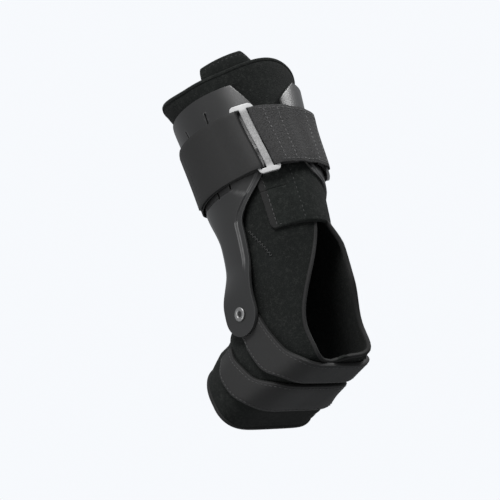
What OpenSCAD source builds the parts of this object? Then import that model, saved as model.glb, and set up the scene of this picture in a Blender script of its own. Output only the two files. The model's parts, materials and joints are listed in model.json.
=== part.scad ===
// Hinged ankle brace for a left foot: rigid side shells, soft sleeve, stirrup and cuff straps.
// +X points to the toes, +Y to the outer side of the foot, +Z up. The origin lies on the sole's
// flat underside, straight below the ankle hinge. The leg section leans back at rest.

/* [Frame] */
// Height of the ankle hinge axis above the ground
hinge_z = 64; // [62:1:66]
// Backward lean of the leg section at rest, in degrees
rest_lean = 13; // [8:1:16]

/* [Leg sleeve] */
// Half depth of the ankle section, front to back
ankle_ap = 46; // [45:1:48]
// Half width of the ankle section, side to side
ankle_ml = 33; // [32.5:0.5:34]
// Extra half depth at the collar
collar_ap_gain = 7; // [5:1:9]
// Extra half width at the collar
collar_ml_gain = 14; // [12:1:16]
// Height of the collar above the hinge, along the leg
collar_t = 177; // [172:1:182]
// Thickness of the sleeve's padded fabric
sleeve_th = 2.8; // [2:0.2:3]

/* [Shells] */
// Thickness of the rigid side shells
shell_th = 2.6; // [2:0.2:2.8]
// Height of the shell's top edge above the hinge
shell_top = 164; // [158:1:166]
// Radius of the shell's round end at the hinge
boss_r = 16; // [14:0.5:16]

/* [Hinge] */
// Radius of the rivet's shank
rivet_r = 3.0; // [2.5:0.1:3.5]
// Radius of the rivet's flared head
rivet_head_r = 5.2; // [4.5:0.1:6]
// Radial running clearance of the shell on the rivet
hinge_play = 0.05; // [0.02:0.01:0.1]

/* [Straps] */
// Lower edge of the cuff strap above the hinge
strap_low = 93; // [90:1:95]
// Upper edge of the cuff strap above the hinge
strap_high = 141; // [138:1:142]
// Thickness of the cuff strap's webbing
strap_th = 1.4; // [1:0.1:1.6]

/* [Hidden] */

// Layer offsets from the sleeve's outer surface
pad_in = 0.3;
pad_out = 2.3;
shell_in = 2.6;
shell_out = shell_in + shell_th;
under_off = shell_out + 0.3 + strap_th / 2;
bar_in = under_off + strap_th / 2 + 0.2;
bar_out = bar_in + 2.0;
over_off = bar_out + 0.2 + strap_th / 2;
hook_in = under_off + strap_th / 2 + 0.15;
hook_out = hook_in + 0.45;
flat_off = hook_out + 0.1 + strap_th / 2;
front_off = 1.4;

slot_r = 0.8;

// Foot tunnel
sole_z = 3.4;
side_z = 26;
instep_x = 34;
split_r = 24;
wall_y = 35;
stirrup_off = [0.25, 1.75];
cover_off = [1.9, sole_z];
arch_off = [0.4, sole_z];

// Hinge stack, measured outwards along Y
eye_y = 36.8;
eye_th = 1.5;
eye_r = 11;
washer_th = 1.0;
boss_y = eye_y + eye_th + washer_th + 0.1;

// Buckle bars, as angles round the leg
bar_a = [126, 128.5, 133.4, 139.4, 142.9, 145.4];
buckle_low = strap_low - 4;
buckle_high = strap_high + 4;
bar_lean = 0.092;

function sm(u) = let(v = max(0, min(1, u))) v * v * (3 - 2 * v);
function mix(a, b, k) = a + (b - a) * k;
function span(a, b, n) = [for (i = [0:n]) mix(a, b, i / n)];

// Outer surface of the leg sleeve: angle a from the front, height t along the leg
function leg_ap(t) = ankle_ap + collar_ap_gain * pow(max(0, t - 40) / 145, 1.5) - 2.5 * sm((t - 85) / 50);
function leg_ml(t) = ankle_ml + collar_ml_gain * pow(max(0, t - 45) / 140, 1.7)
    + 3.5 * exp(-pow(t / 25, 2));
function leg_cx(t) = -12 + 5 * pow((t - 90) / 90, 2) + 2.5 * sm((t - 85) / 50);
function leg_pt(a, t, off) =
    [leg_cx(t) + (leg_ap(t) + off) * cos(a), (leg_ml(t) + off) * sin(a), t];

// Outer surface of the foot tunnel: angle a from the sole's middle line, place x along the foot
function foot_w(x) = 34.5 + 7.5 * sm((x + 40) / 85);
function foot_top(x) = x < -split_r ? hinge_z - 7 + 0.75 * (x + split_r)
    : max(hinge_z + sqrt(max(0, split_r * split_r - x * x)),
        x < 0 ? 0 : 70.5 - 0.012 * pow(x - 30, 2) + 6 * sm((x - 34) / 20));
function foot_n(x) = mix(6, 3, sm((x - 8) / 34));
function side_w(x, z) = mix(foot_w(x), min(foot_w(x), wall_y), sm((z - side_z) / 45));
// The inner side widens towards the ball of the foot
function ball(x) = 4 * sm((x - 12) / 36);
function low_pt(x, a, off) = let(s = sin(a), w = foot_w(x) + ball(x) + off,
        h = side_z - sole_z + 1.2 + off)
    [x, w * sign(s) * pow(abs(s), 0.625) - ball(x), max(sole_z - off, side_z - h * pow(cos(a), 0.625))];
function high_pt(x, a, off) = let(q = min(1, sin(abs(a) - 90)), n = foot_n(x),
        z = side_z + (foot_top(x) - side_z + off) * q)
    [x, sign(a) * (side_w(x, z) + ball(x) + off) * pow(max(0, 1 - pow(q, n)), 1 / n) - ball(x), z];
function foot_pt(x, a, off) = abs(a) < 90 ? low_pt(x, a, off) : high_pt(x, a, off);

// Edge of the foot sleeve's leg opening, as an angle round the tunnel
function open_half(x) = 0.87 * sqrt(max(0, 1 - pow(max(0, x - 6) / (instep_x - 6), 2)));
function open_a(x) = 90 + asin(min(1, pow(max(0, 1 - pow(open_half(x), foot_n(x))), 1 / foot_n(x))));
function heel_x(v) = let(a = abs(v) * 156) -33 - 10 * sm(a / 60) - 13 * sm((a - 70) / 60);
function toe_x(v) = 59 + 5 * sm((abs(v) * 180 - 60) / 100);

// Closed solid between two grids of points; ring joins the last column to the first,
// and from row pinch on, the two outer columns meet
module slab(outer, inner, ring = false, pinch = 9999) {
    rows = len(outer);
    cols = len(outer[0]);
    n = rows * cols;
    last = ring ? cols : cols - 1;
    points = concat([for (r = outer) each r], [for (r = inner) each r]);
    function id(i, j) = i * cols + ((i >= pinch && j == cols - 1) || j == cols ? 0 : j);
    quads = concat(
        [for (i = [0:rows - 2], j = [0:last - 1])
            [id(i, j), id(i, j + 1), id(i + 1, j + 1), id(i + 1, j)]],
        [for (i = [0:rows - 2], j = [0:last - 1])
            [n + id(i, j), n + id(i + 1, j), n + id(i + 1, j + 1), n + id(i, j + 1)]],
        [for (j = [0:last - 1]) [id(0, j), n + id(0, j), n + id(0, j + 1), id(0, j + 1)]],
        [for (j = [0:last - 1]) let(r = rows - 1)
            [id(r, j), id(r, j + 1), n + id(r, j + 1), n + id(r, j)]],
        ring ? [] : [for (i = [0:min(rows - 2, pinch - 1)])
            [id(i, 0), id(i + 1, 0), n + id(i + 1, 0), n + id(i, 0)]],
        ring ? [] : [for (i = [0:min(rows - 2, pinch - 1)]) let(c = cols - 1)
            [id(i, c), n + id(i, c), n + id(i + 1, c), id(i + 1, c)]]);
    solid(points, quads);
}

// Plate between two grids in which only the cells that keep(i, j) names are filled
module plate(outer, inner, keep) {
    rows = len(outer);
    cols = len(outer[0]);
    n = rows * cols;
    points = concat([for (r = outer) each r], [for (r = inner) each r]);
    function id(i, j) = i * cols + j;
    function on(i, j) = i >= 0 && j >= 0 && i < rows - 1 && j < cols - 1 && keep(i, j);
    quads = [for (i = [0:rows - 2], j = [0:cols - 2]) if (on(i, j)) each concat(
        [[id(i, j), id(i, j + 1), id(i + 1, j + 1), id(i + 1, j)]],
        [[n + id(i, j), n + id(i + 1, j), n + id(i + 1, j + 1), n + id(i, j + 1)]],
        on(i - 1, j) ? [] : [[id(i, j), n + id(i, j), n + id(i, j + 1), id(i, j + 1)]],
        on(i + 1, j) ? [] : [[id(i + 1, j), id(i + 1, j + 1), n + id(i + 1, j + 1), n + id(i + 1, j)]],
        on(i, j - 1) ? [] : [[id(i, j), id(i + 1, j), n + id(i + 1, j), n + id(i, j)]],
        on(i, j + 1) ? [] : [[id(i, j + 1), n + id(i, j + 1), n + id(i + 1, j + 1), id(i + 1, j + 1)]])];
    solid(points, quads);
}

// Polyhedron from quads, with every face turned to point outwards
module solid(points, quads) {
    tris = [for (q = quads) each [[q[0], q[1], q[2]], [q[0], q[2], q[3]]]];
    cones = [for (t = tris) cross(points[t[0]], points[t[1]]) * points[t[2]]];
    volume = cones * [for (c = cones) 1];
    polyhedron(points, volume > 0 ? [for (t = tris) [t[0], t[2], t[1]]] : tris);
}

module leg_frame() {
    translate([0, 0, hinge_z]) rotate([0, -rest_lean, 0]) children();
}

// Patch of the leg's surface between offsets in and out; place(a, k) gives each point's
// angle and height, for a across the patch and k up it
module leg_patch(angles, rows, place, in, out, ring = false) {
    slab([for (k = rows) [for (a = angles) leg_pt(place(a, k)[0], place(a, k)[1], out)]],
        [for (k = rows) [for (a = angles) leg_pt(place(a, k)[0], place(a, k)[1], in)]], ring);
}

// Band round the foot between the edges rear(a) and front(a); stop(x) is its upper end
module foot_band(off, rear, front, stop, cols = 52, rows = 4) {
    function place(u, v) = let(a0 = v * stop(0), x = mix(rear(a0), front(a0), u))
        [x, v * stop(x)];
    slab([for (u = span(0, 1, rows)) [for (v = span(-1, 1, cols)) let(p = place(u, v))
            foot_pt(p[0], p[1], off[1])]],
        [for (u = span(0, 1, rows)) [for (v = span(-1, 1, cols)) let(p = place(u, v))
            foot_pt(p[0], p[1], off[0])]]);
}

function z_angle(x, z) = let(top = foot_top(max(-12, min(12, x))))
    90 + asin(min(1, max(0, (z - side_z) / (top - side_z))));
cover_front = function (a) 11 - 18 * sm((115 - abs(a)) / 72);
cover_rear = function (a) -11 - 18.5 * sm((120 - abs(a)) / 77);
cover_stop = function (x) z_angle(x, hinge_z - sqrt(max(0, pow(boss_r + 2.4, 2) - x * x)));
stirrup_front = function (a) cover_front(a) - 2.5;
stirrup_rear = function (a) cover_rear(a) + 2.5;
stirrup_stop = function (x) z_angle(x, hinge_z - 7);
arch_front = function (a) 30.5 + 12 * sm((abs(a) - 50) / 60);
arch_rear = function (a) -2 + 29 * sm((abs(a) - 30) / 100);
arch_stop = function (x) 128;

// Foot sleeve grid: rows run from the heel opening to the toes, columns round the tunnel
heel_rows = 12;
toe_rows = 4;
foot_cols = 48;
function foot_x(i, v) = i <= heel_rows ? mix(heel_x(v), instep_x, sin(90 * i / heel_rows))
    : mix(instep_x, toe_x(v), (i - heel_rows) / toe_rows);
function foot_grid(off) = [for (i = [0:heel_rows + toe_rows]) [for (v = span(-1, 1, foot_cols))
    let(x = foot_x(i, v)) foot_pt(x, v * (i >= heel_rows ? 180 : open_a(x)), off)]];

module foot_sleeve() {
    color([0.12, 0.14, 0.13]) slab(foot_grid(0), foot_grid(-sleeve_th), pinch = heel_rows);
}

module front_binding() {
    function edge(d, off) = [for (v = [for (k = [0:foot_cols - 1]) 2 * k / foot_cols - 1])
        foot_pt(toe_x(v) + d, v * 180, off)];
    color([0.2, 0.2, 0.2]) slab([edge(0.1, 0.2), edge(1.6, 0.2)], [edge(0.1, -3), edge(1.6, -3)],
        ring = true);
}

module heel_binding() {
    function edge(d, off) = [for (v = span(-1, 1, foot_cols))
        let(x = heel_x(v) - d) foot_pt(x, v * open_a(x), off)];
    color([0.2, 0.2, 0.2]) slab([edge(1.8, 0.2), edge(0.1, 0.2)], [edge(1.8, -3), edge(0.1, -3)]);
}

module side_disc(r, y, th) {
    translate([0, y, hinge_z]) rotate([-90, 0, 0]) cylinder(r = r, h = th, $fn = 64);
}

module stirrup() {
    color([0.55, 0.56, 0.58]) difference() {
        union() {
            foot_band(stirrup_off, stirrup_rear, stirrup_front, stirrup_stop, 44, 2);
            side_disc(eye_r, eye_y, eye_th);
            mirror([0, 1, 0]) side_disc(eye_r, eye_y, eye_th);
        }
        side_disc(rivet_r, -50, 100);
    }
}

module stirrup_cover() {
    color([0.2, 0.2, 0.2]) foot_band(cover_off, cover_rear, cover_front, cover_stop);
}

module arch_strap() {
    color([0.2, 0.2, 0.2]) foot_band(arch_off, arch_rear, arch_front, arch_stop);
}

// Tubular rivet: shank, flared head and the hollow in its end
module rivet() {
    head_y = boss_y + shell_th + 0.1;
    color([0.75, 0.75, 0.74]) difference() {
        union() {
            side_disc(rivet_r, eye_y, head_y - eye_y + 0.4);
            side_disc(rivet_head_r, head_y, 1.3);
        }
        side_disc(2.1, head_y - 2.5, 5);
    }
}

module lateral_hinge_rivet() {
    rivet();
}

module medial_hinge_rivet() {
    mirror([0, 1, 0]) rivet();
}

module washer() {
    color([0.85, 0.85, 0.82]) difference() {
        side_disc(8.5, eye_y + eye_th + 0.05, washer_th);
        side_disc(rivet_r + 0.05, eye_y, 5);
    }
}

module lateral_hinge_washer() {
    washer();
}

module medial_hinge_washer() {
    mirror([0, 1, 0]) washer();
}

// Lower edge of the leg sleeve: clear of the foot sleeve through the hinge's travel,
// and raised to a point over the heel opening
function sleeve_low(a) = let(x = ankle_ap * cos(a) - 12, clear_r = split_r + 1.6,
        arc = sqrt(max(0, clear_r * clear_r - x * x)),
        heel = 58 - (a < 180 ? 2.2 : 0.8) * abs(180 - a))
    max(arc, x > 0 ? x * tan(32) : -x * tan(31), heel);

// Collar edge: lowest over the hinges, higher in front and at the calf
function collar_top(a) = let(b = a > 180 ? 360 - a : a)
    collar_t + 7 * sm((b - 118) / 60) + 8 * sm((95 - b) / 60);

module leg_sleeve() {
    angles = [for (k = [0:71]) k * 5];
    rise = function (a, k) [a, mix(sleeve_low(a), collar_top(a), k)];
    color([0.12, 0.14, 0.13]) leg_frame()
        leg_patch(angles, span(0, 1, 12), rise, -sleeve_th, 0, ring = true);
}

module collar_binding() {
    angles = [for (k = [0:71]) k * 5];
    rise = function (a, k) [a, collar_top(a) + 0.1 + 2 * k];
    color([0.2, 0.2, 0.2]) leg_frame()
        leg_patch(angles, [0, 1], rise, -sleeve_th - 0.2, 0.5, ring = true);
}

// Padded tongue inside the collar, with a pull tab that stands above it
module inner_tongue() {
    function top(a) = 178 + 12.5 * sm((a - 105) / 7) * sm((164 - a) / 12) + 0.13 * (a - 130);
    rise = function (a, k) [a, mix(104, top(a), k)];
    color([0.1, 0.11, 0.11]) leg_frame()
        leg_patch(span(105, 164, 24), span(0, 1, 8), rise, -sleeve_th - 2.9, -sleeve_th - 0.4);
}

// Edges of a shell, as angles round the leg. Its upper rear corner is cut off at a slant, and
// wrap carries it further round behind the leg
function shell_rear(t, wrap = 0) = let(back = 99 + 36 * sm((t - 62) / 38) + 12 * sm((t - 92) / 50))
    min(back + wrap * sm((t - 64) / 24), wrap > 0 ? 188 : 150,
        wrap > 0 ? 191 - 1.45 * (t - 146.5) : 144.8 - 0.663 * (t - 143.3));
function shell_front(t) = 64 - 22 * sm((t - 55) / 45) - 8 * sm((t - 92) / 50)
    + 12 * (1 - sqrt(1 - pow(max(0, min(1, (t - shell_top + 11) / 11)), 2)));
// Surface point of the shell: flat near the hinge, round the leg above it
function shell_pt(u, t, lift, wrap) = let(a = mix(shell_front(t), shell_rear(t, wrap), u),
        p = leg_pt(a, t, shell_in + lift), k = sm((t - 8) / 30), x = boss_r * (1 - 2 * u))
    [mix(x, p[0], sm(t / 25)), mix(boss_y + lift, p[1], k), t];

module shell_slot(top_a, top_t, low_a, low_t) {
    top = leg_pt(top_a, top_t, 0);
    low = leg_pt(low_a, low_t, 0);
    hull() {
        translate(top) rotate([-90, 0, 0]) cylinder(r = slot_r, h = 16, center = true, $fn = 24);
        translate(low) rotate([-90, 0, 0]) cylinder(r = slot_r, h = 16, center = true, $fn = 24);
    }
}

module shell(wrap = 0) {
    rows = concat(span(0, shell_top - 6, 30), [for (k = [1:4]) shell_top - 6 + 6 * sin(22.5 * k)]);
    cols = span(0, 1, wrap > 0 ? 20 : 14);
    color([0.24, 0.24, 0.24]) leg_frame() difference() {
        union() {
            slab([for (t = rows) [for (u = cols) shell_pt(u, t, shell_th, wrap)]],
                [for (t = rows) [for (u = cols) shell_pt(u, t, 0, wrap)]]);
            translate([0, boss_y, 0]) rotate([-90, 0, 0]) cylinder(r = boss_r, h = shell_th, $fn = 96);
        }
        rotate([-90, 0, 0]) cylinder(r = rivet_r + hinge_play, h = 60, $fn = 64);
        shell_slot(102.2, 152, 97.8, 90.3);
        shell_slot(73.5, 150, 83.5, 88.3);
    }
}

module lateral_shell() {
    shell();
}

module medial_shell() {
    mirror([0, 1, 0]) shell(wrap = 49);
}

module shell_pad() {
    edge = 5;
    rise = function (u, t) [mix(shell_front(t) + edge, min(shell_rear(t) - edge, flap_left(t) - 1.5), u), t];
    color([0.16, 0.17, 0.17]) leg_frame()
        leg_patch(span(0, 1, 12), span(44, shell_top - 12, 10), rise, pad_in, pad_out);
}

module lateral_shell_pad() {
    shell_pad();
}

module medial_shell_pad() {
    mirror([0, 1, 0]) shell_pad();
}

// Flap that closes the sleeve behind the ankle; its outer corner is the peeling tab
tab_a = 150;
tab_low = 49.5;
tab_high = 78.5;
function flap_left(t) = 125.3 - 0.085 * (t - tab_low);

module rear_closure_flap() {
    function low(a) = a < tab_a ? tab_high + 0.4 : tab_low;
    function place(a, t) = [a < tab_a ? mix(flap_left(t), tab_a - 0.15, a / tab_a) : a, t];
    angles = concat(span(0, tab_a - 0.001, 8), span(tab_a + 0.15, 222, 24));
    function at(a, k, off) = let(p = place(a, mix(low(a), strap_high - 4, k))) leg_pt(p[0], p[1], off);
    // Thinner where the inner side's shell passes over it
    out = function (a) pad_out - 0.75 * sm((a - 160) / 14);
    color([0.15, 0.16, 0.16]) leg_frame()
        slab([for (k = span(0, 1, 8)) [for (a = angles) at(a, k, out(a))]],
            [for (k = span(0, 1, 8)) [for (a = angles) at(a, k, pad_in)]]);
}

module rear_flap_tab() {
    place = function (u, t) [mix(tab_a - 0.5, flap_left(t), u), t];
    color([0.15, 0.16, 0.16]) leg_frame()
        leg_patch(span(0, 1, 8), span(tab_low, tab_high, 4), place, 0.95, pad_out);
}

module rear_tab_hook() {
    place = function (u, t) [mix(tab_a - 1.5, flap_left(t) + 1, u), t];
    color([0.1, 0.1, 0.1]) leg_frame()
        leg_patch(span(0, 1, 8), span(tab_low + 1, tab_high - 1, 4), place, 0.3, 0.85);
}

// Buckle bars lean with height, and the straps lean with them near the buckle
function lean(a, t) = let(b = a > 180 ? a - 360 : a)
    a - sign(b) * bar_lean * (t - 117) * sm((40 - abs(abs(b) - 135.5)) / 25);

module buckle() {
    ts = concat([buckle_low], span(strap_low - 0.4, strap_high + 0.4, 8), [buckle_high]);
    function grid(off) = [for (t = ts) [for (a = bar_a) leg_pt(lean(a, t), t, off)]];
    keep = function (i, j) i == 0 || i == len(ts) - 2 || j % 2 == 0;
    color([0.8, 0.8, 0.79]) leg_frame() plate(grid(bar_out), grid(bar_in), keep);
}

module lateral_buckle() {
    buckle();
}

module medial_buckle() {
    mirror([0, 1, 0]) buckle();
}

// Strap that follows a path of [angle, offset] points, with the webbing's thickness
module ribbon(path, low, high) {
    ts = span(low, high, 4);
    n = len(path) - 1;
    function c(i, t) = leg_pt(lean(path[i][0], t), t, path[i][1]);
    function side(i, t) = let(d = c(min(n, i + 1), t) - c(max(0, i - 1), t), l = norm([d[0], d[1]]))
        [d[1] / l, -d[0] / l, 0] * strap_th / 2;
    slab([for (t = ts) [for (i = [0:n]) c(i, t) + side(i, t)]],
        [for (t = ts) [for (i = [0:n]) c(i, t) - side(i, t)]]);
}

// Half turn of the webbing round a bar at angle a, from the layer under it to the layer over it;
// dir is +1 where the webbing comes through the slot behind the bar
function fold(a, dir) = let(mid = (under_off + over_off) / 2, r = (over_off - under_off) / 2)
    [for (k = [0:8]) [a + dir * 2.1 * sin(22.5 * k), mid - r * cos(22.5 * k)]];
function reversed(l) = [for (i = [len(l) - 1:-1:0]) l[i]];
function neg(l) = [for (p = l) [-p[0], p[1]]];

module front_strap() {
    bar = 128.2;
    turn = fold(bar, 1);
    over = [for (a = span(bar - 3, 62, 16)) [a, mix(flat_off, over_off, sm((a - 107) / 18))]];
    sewn = [for (a = span(bar - 3, 98, 7)) [a, mix(flat_off, over_off, sm((a - 107) / 18))]];
    under = [for (a = span(-bar + 3, bar - 3, 60)) [a, mix(front_off, under_off, sm((abs(a) - 14) / 21))]];
    color([0.21, 0.21, 0.21]) leg_frame()
        ribbon(concat(reversed(neg(concat(turn, sewn))), under, turn, over), strap_low, strap_high);
}

module front_strap_tab() {
    place = function (u, t) [lean(mix(61.6, 44, u), t), t];
    color([0.21, 0.21, 0.21]) leg_frame() leg_patch(span(0, 1, 6), span(strap_low, strap_high, 4),
        place, flat_off - strap_th / 2, flat_off + strap_th / 2);
}

module front_tab_hook() {
    place = function (u, t) [lean(mix(60.5, 45.5, u), t), t];
    color([0.1, 0.1, 0.1]) leg_frame() leg_patch(span(0, 1, 6),
        span(strap_low + 2, strap_high - 2, 4), place, hook_in, hook_out);
}

module rear_strap() {
    bar = 143.3;
    turn = fold(bar, -1);
    under = [for (a = span(166, bar + 3, 8)) [a, under_off]];
    lap = function (a) (strap_th + 0.15) * sm((180 - a) / 12);
    over = [for (a = span(bar + 3, 180, 16))
        [a, under_off + mix(over_off - under_off, lap(a), sm((a - 146) / 18))]];
    half = concat(under, turn, over);
    other = [for (p = reversed(half)) [360 - p[0], p[1]]];
    color([0.27, 0.27, 0.27]) leg_frame()
        ribbon(concat(half, [for (i = [1:len(other) - 1]) other[i]]), strap_low, strap_high);
}

foot_sleeve();
front_binding();
heel_binding();
stirrup();
stirrup_cover();
arch_strap();
lateral_hinge_rivet();
medial_hinge_rivet();
lateral_hinge_washer();
medial_hinge_washer();
leg_sleeve();
collar_binding();
inner_tongue();
lateral_shell();
medial_shell();
lateral_shell_pad();
medial_shell_pad();
rear_closure_flap();
front_strap();
rear_strap();
lateral_buckle();
medial_buckle();
front_strap_tab();
front_tab_hook();
rear_flap_tab();
rear_tab_hook();
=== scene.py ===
"""Looks of the hinged ankle brace: its fabric, shells, straps and buckles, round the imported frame."""

import math

import bmesh
import bpy
import numpy as np
from mathutils import Matrix, Vector
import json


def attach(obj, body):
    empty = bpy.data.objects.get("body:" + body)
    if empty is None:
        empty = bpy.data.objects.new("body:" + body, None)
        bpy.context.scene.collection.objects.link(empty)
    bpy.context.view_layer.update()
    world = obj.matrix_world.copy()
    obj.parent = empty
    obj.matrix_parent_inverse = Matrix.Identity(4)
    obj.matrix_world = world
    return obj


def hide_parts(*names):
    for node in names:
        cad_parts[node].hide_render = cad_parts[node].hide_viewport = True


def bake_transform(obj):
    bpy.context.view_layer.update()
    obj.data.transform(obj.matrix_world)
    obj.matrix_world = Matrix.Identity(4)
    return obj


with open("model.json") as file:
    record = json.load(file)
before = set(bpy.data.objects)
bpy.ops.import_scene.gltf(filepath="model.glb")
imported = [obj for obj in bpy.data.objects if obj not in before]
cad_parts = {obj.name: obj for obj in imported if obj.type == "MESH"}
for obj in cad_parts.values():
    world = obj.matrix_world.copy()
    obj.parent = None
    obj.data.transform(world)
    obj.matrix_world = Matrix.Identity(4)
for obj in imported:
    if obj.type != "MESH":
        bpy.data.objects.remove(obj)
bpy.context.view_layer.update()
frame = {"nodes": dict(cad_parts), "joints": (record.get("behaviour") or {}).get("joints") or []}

# ---------------------------------------------------------------- driving sizes
# In millimetres and degrees. On the leg, a is the angle round it, 0 in front and 90 on the outer
# side, and t is the height above the hinge. _OFF, _IN and _OUT are distances out from the sleeve.
MM = 0.001
HINGE = np.array(frame["joints"][0]["pos_m"]) / MM
LEAN = math.radians(13)
COLLAR_T = 177.0
SOLE_Z = 3.4
SIDE_Z = 26.0
SLEEVE_TH = 2.8
MM_PER_DEG = 0.85

SHELL_TOP = 164.0
SHELL_IN, SHELL_TH = 2.6, 2.6
BOSS_R = 16.0
EYE_Y, EYE_TH, EYE_R, WASHER_TH = 36.8, 1.5, 11.0, 1.0
BOSS_Y = EYE_Y + EYE_TH + WASHER_TH + 0.1
RIVET_R, RIVET_HEAD_R, RIVET_BORE_R = 3.0, 5.2, 2.1

STRAP_LOW, STRAP_HIGH, STRAP_TH = 93.0, 141.0, 1.4
FRONT_OFF = 1.4
UNDER_OFF = SHELL_IN + SHELL_TH + 0.3 + STRAP_TH / 2
BAR_IN = UNDER_OFF + STRAP_TH / 2 + 0.2
BAR_OUT = BAR_IN + 2.0
OVER_OFF = BAR_OUT + 0.2 + STRAP_TH / 2
HOOK_IN = UNDER_OFF + STRAP_TH / 2 + 0.15
FLAT_OFF = HOOK_IN + 0.45 + 0.1 + STRAP_TH / 2
TAB_START, TAB_TIP = 61.8, 44.0

FLAP_LEFT, FLAP_RIGHT, FLAP_TOP, FLAP_IN = 125.3, 222.0, 137.0, 0.3
TAB_A, TAB_LOW, TAB_HIGH = 150.0, 49.5, 78.5
TONGUE_LEFT, TONGUE_RIGHT, TONGUE_LOW = 105.0, 164.0, 104.0


# ---------------------------------------------------------------- curves
def sm(u):
    """Smooth step from 0 to 1."""
    u = np.clip(u, 0, 1)
    return u * u * (3 - 2 * u)


def mix(a, b, k):
    return a + (b - a) * k


def bell(x, center, width):
    return np.exp(-(((x - center) / width) ** 2))


def margin(x, low, high):
    """Distance from x to the nearer of two borders."""
    return np.minimum(x - low, high - x)


def rounded(edge, radius):
    """How far a round border falls back: 0 from radius inwards, and 1 at the edge itself."""
    return 1 - np.sqrt(1 - np.clip(1 - edge / radius, 0, 1) ** 2)


def soft_max(a, b, blend=1.6):
    return 0.5 * (a + b + np.sqrt((a - b) ** 2 + blend**2)) - 0.12


def soft_min(a, b, blend=3.0):
    return 0.5 * (a + b - np.sqrt((a - b) ** 2 + blend**2))


def span(a, b, n):
    return list(np.linspace(a, b, n + 1))


def stack(*parts):
    return np.stack(np.broadcast_arrays(*[np.asarray(p, float) for p in parts]), -1)


def unit(v):
    return v / np.maximum(np.linalg.norm(v, axis=-1, keepdims=True), 1e-9)


def run_length(p):
    """Distance along a line of points, up to each of them."""
    return np.concatenate([[0], np.cumsum(np.linalg.norm(np.diff(p, axis=0), axis=1))])


# ---------------------------------------------------------------- the brace's surfaces
def leg_ap(t):
    return 46 + 7 * (np.maximum(0, t - 40) / 145) ** 1.5 - 2.5 * sm((t - 85) / 50)


def leg_ml(t):
    return 33 + 14 * (np.maximum(0, t - 45) / 140) ** 1.7 + 3.5 * bell(t, 0, 25)


def leg_cx(t):
    return -12 + 5 * ((t - 90) / 90) ** 2 + 2.5 * sm((t - 85) / 50)


def tilt(p):
    """Points of the leg's own frame, in the frame of the part."""
    x, y, t = p[..., 0], p[..., 1], p[..., 2]
    return stack(x * math.cos(LEAN) - t * math.sin(LEAN), y,
                 HINGE[2] + x * math.sin(LEAN) + t * math.cos(LEAN))


def leg_local(a, t, off=0.0):
    r = np.radians(a)
    return stack(leg_cx(t) + (leg_ap(t) + off) * np.cos(r), (leg_ml(t) + off) * np.sin(r), t)


def leg_pt(a, t, off=0.0):
    return tilt(leg_local(a, t, off))


def leg_coords(p):
    """Angle and height on the leg of points of the part."""
    x, z = p[..., 0], p[..., 2] - HINGE[2]
    leg_x = x * math.cos(LEAN) + z * math.sin(LEAN)
    t = -x * math.sin(LEAN) + z * math.cos(LEAN)
    a = np.degrees(np.arctan2(p[..., 1] / leg_ml(t), (leg_x - leg_cx(t)) / leg_ap(t)))
    return np.where(a < -90, a + 360, a), t


def foot_w(x):
    return 34.5 + 7.5 * sm((x + 40) / 85)


def foot_top(x):
    arc = HINGE[2] + np.sqrt(np.maximum(0, 24.0**2 - x * x))
    instep = np.where(x < 0, 0, 70.5 - 0.012 * (x - 30) ** 2 + 6 * sm((x - 34) / 20))
    return np.where(x < -24, HINGE[2] - 7 + 0.75 * (x + 24), np.maximum(arc, instep))


def ball(x):
    """Extra width of the inner side towards the ball of the foot."""
    return 4 * sm((x - 12) / 36)


def side_w(x, z):
    return mix(foot_w(x), np.minimum(foot_w(x), 35), sm((z - SIDE_Z) / 45))


def foot_y(x, z, a, off):
    """Sideways place of the tunnel's wall: boxy below SIDE_Z, and rounder above it."""
    r = np.radians(np.abs(a))
    q, n = np.clip(-np.cos(r), 0, 1), mix(6, 3.0, sm((x - 8) / 34))
    high = (side_w(x, z) + ball(x) + off) * np.maximum(0, 1 - q**n) ** (1 / n)
    low = (foot_w(x) + ball(x) + off) * np.abs(np.sin(r)) ** 0.625
    return np.sign(a) * np.where(np.abs(a) < 90, low, high) - ball(x)


def foot_pt(x, a, off=0.0):
    """Surface of the foot tunnel: a is 0 under the sole, 90 at the outer side, 180 on the instep."""
    x, a = np.broadcast_arrays(np.asarray(x, float), np.asarray(a, float))
    c = np.cos(np.radians(np.abs(a)))
    depth = SIDE_Z - SOLE_Z + 1.2 + off
    low = soft_max(SOLE_Z - off, SIDE_Z - depth * np.clip(c, 0, 1) ** 0.625)
    high = SIDE_Z + (foot_top(x) - SIDE_Z + off) * np.clip(-c, 0, 1)
    z = np.where(np.abs(a) < 90, low, high)
    return stack(x, foot_y(x, z, a, off), z)


def z_angle(x, z):
    """Angle at which the tunnel's wall reaches a height, near the hinge."""
    q = np.clip((z - SIDE_Z) / (foot_top(np.clip(x, -12, 12)) - SIDE_Z), 0, 1)
    return 90 + np.degrees(np.arcsin(q))


def with_normals(surface, u, v, off):
    """Points at an offset from a surface, and the surface's unit normals there."""
    p = surface(u, v, off)
    return p, unit(surface(u, v, off + 1.0) - p)


# ---------------------------------------------------------------- mesh building
def link_object(name, data):
    obj = bpy.data.objects.new(name, data)
    bpy.context.scene.collection.objects.link(obj)
    return obj


def smooth_faces(mesh):
    mesh.polygons.foreach_set("use_smooth", [True] * len(mesh.polygons))


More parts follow.
